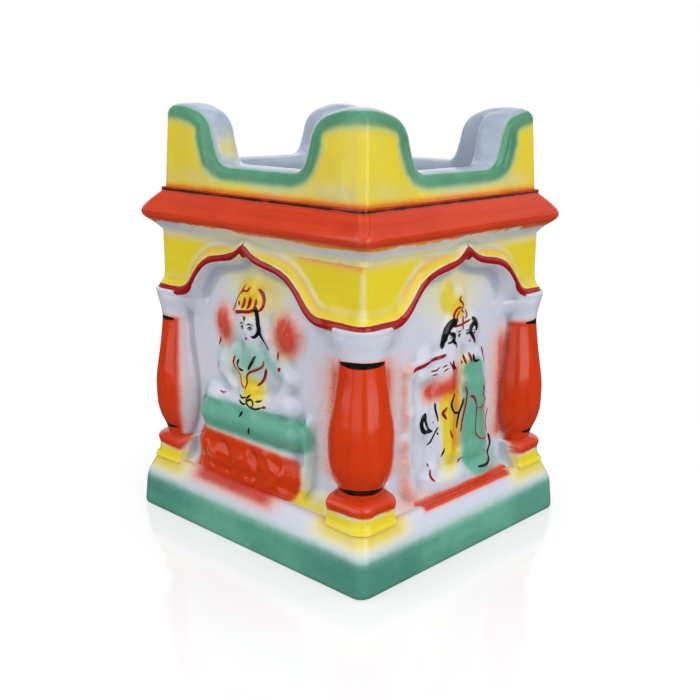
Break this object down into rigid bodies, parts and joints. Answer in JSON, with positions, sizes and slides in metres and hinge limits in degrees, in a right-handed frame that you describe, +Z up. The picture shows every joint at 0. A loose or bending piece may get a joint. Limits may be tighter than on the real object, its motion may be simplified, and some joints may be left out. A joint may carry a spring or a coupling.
{
  "type": "square ceramic tulsi planter",
  "caption": "Square glazed ceramic planter shaped as a small shrine: plinth, corner columns, arched niches with raised figures, cornice and notched parapet round a deep well.",
  "frame": {"origin": "centre of the underside, on the surface that the planter stands on", "axes": "+Z up, -Y out of the front face with the seated figure, +X out of the face with the two standing figures"},
  "size_m": [0.208, 0.1924, 0.2674],
  "materials": {
    "white_glaze": "clear gloss glaze over white slip-cast earthenware",
    "green_white_glaze": "gloss glaze, airbrushed green band fading to white",
    "yellow_glaze": "gloss glaze, airbrushed yellow with a red brushed edge",
    "yellow_green_glaze": "gloss glaze, airbrushed yellow with a soft green border and white rim",
    "orange_glaze": "gloss glaze, brushed and airbrushed orange, black lines",
    "orange_yellow_glaze": "gloss glaze, yellow with orange overspray",
    "orange_white_glaze": "gloss glaze, soft orange airbrush over white",
    "green_glaze": "gloss glaze, airbrushed green",
    "figure_glaze": "gloss glaze, white with yellow, green and orange airbrush, brushed lines"
  },
  "bodies": {
    "root": {"back_arch": "yellow_glaze", "back_drape": "white_glaze", "back_held_flower_1": "orange_white_glaze", "back_held_flower_2": "orange_white_glaze", "back_lotus_seat": "orange_white_glaze", "back_seat_cushion": "green_glaze", "back_seated_figure": "figure_glaze", "back_wall": "white_glaze", "back_well_liner": "white_glaze", "column_back_left": "orange_glaze", "column_back_right": "orange_glaze", "column_front_left": "orange_glaze", "column_front_right": "orange_glaze", "cornice": "orange_glaze", "front_arch": "yellow_glaze", "front_drape": "white_glaze", "front_held_flower_1": "orange_white_glaze", "front_held_flower_2": "orange_white_glaze", "front_lotus_seat": "orange_white_glaze", "front_seat_cushion": "green_glaze", "front_seated_figure": "figure_glaze", "front_wall": "white_glaze", "front_well_liner": "white_glaze", "left_arch": "yellow_glaze", "left_companion": "green_glaze", "left_flute_player": "figure_glaze", "left_mound": "white_glaze", "left_tree": "orange_white_glaze", "left_wall": "white_glaze", "left_well_liner": "white_glaze", "parapet": "yellow_green_glaze", "pedestal_back_left": "orange_yellow_glaze", "pedestal_back_right": "orange_yellow_glaze", "pedestal_front_left": "orange_yellow_glaze", "pedestal_front_right": "orange_yellow_glaze", "plinth": "green_white_glaze", "right_arch": "yellow_glaze", "right_companion": "green_glaze", "right_flute_player": "figure_glaze", "right_mound": "white_glaze", "right_tree": "orange_white_glaze", "right_wall": "white_glaze", "right_well_liner": "white_glaze", "well_floor": "white_glaze"}
  },
  "joints": []
}
